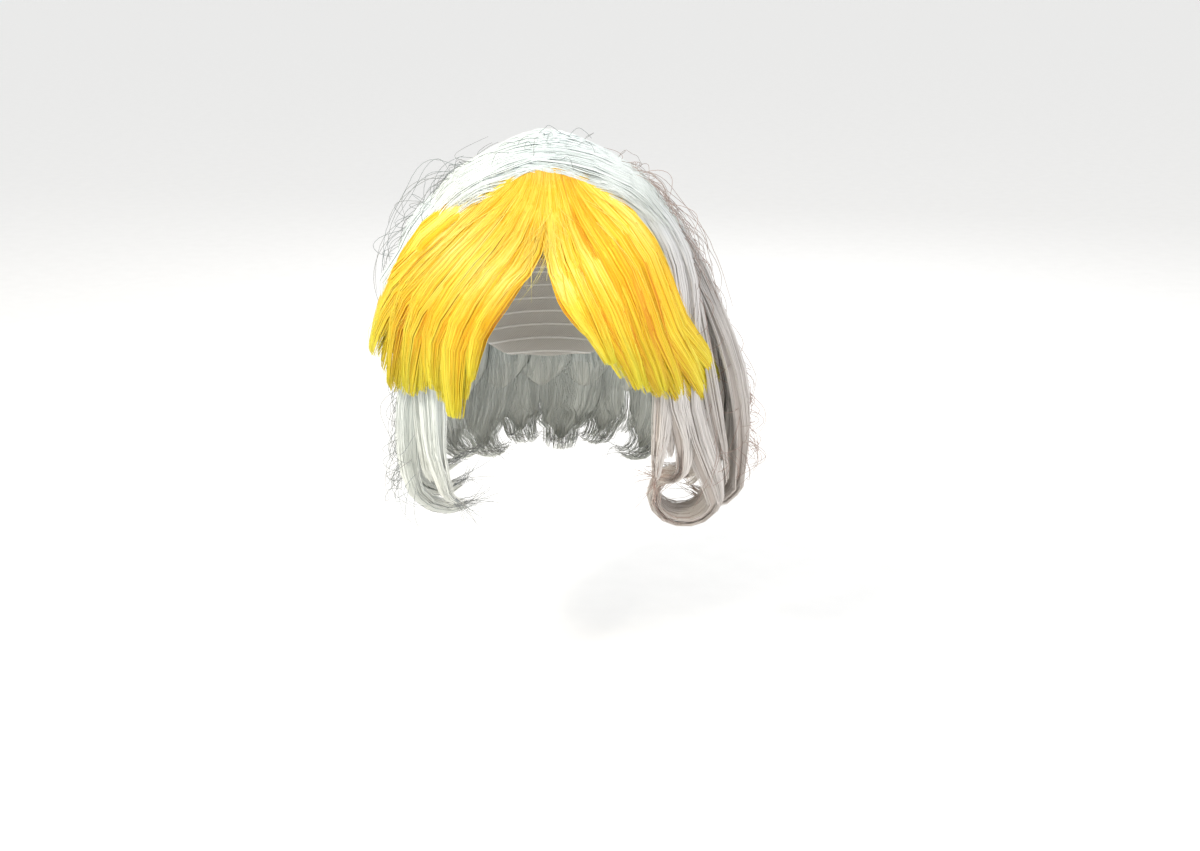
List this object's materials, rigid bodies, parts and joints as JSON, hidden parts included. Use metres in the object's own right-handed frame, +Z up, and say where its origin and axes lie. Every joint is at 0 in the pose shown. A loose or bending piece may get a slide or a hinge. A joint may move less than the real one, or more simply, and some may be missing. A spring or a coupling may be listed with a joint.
{
  "type": "two-tone wavy wig",
  "caption": "Short dress-up wig: a parted yellow fringe swept to both sides over white wavy hair with curled-under ends, sewn on an open fitted cap.",
  "frame": {"origin": "centre of the head, level with the band line where the cap is widest", "axes": "+Z up through the crown, -Y out of the face, +X towards the side that shows on the right in a front view"},
  "size_m": [0.2611, 0.2453, 0.2789],
  "materials": {
    "white_hair": "glossy straight and wavy synthetic fibre, icy white",
    "yellow_hair": "glossy straight synthetic fibre, golden yellow with paler tips",
    "cap_cloth": "matt knitted net"
  },
  "bodies": {
    "root": {"cap_net": "cap_cloth", "cap_band": "cap_cloth", "crown": "white_hair", "side_left": "white_hair", "side_right": "white_hair", "back": "white_hair", "fringe_left": "yellow_hair", "fringe_right": "yellow_hair"}
  },
  "joints": []
}
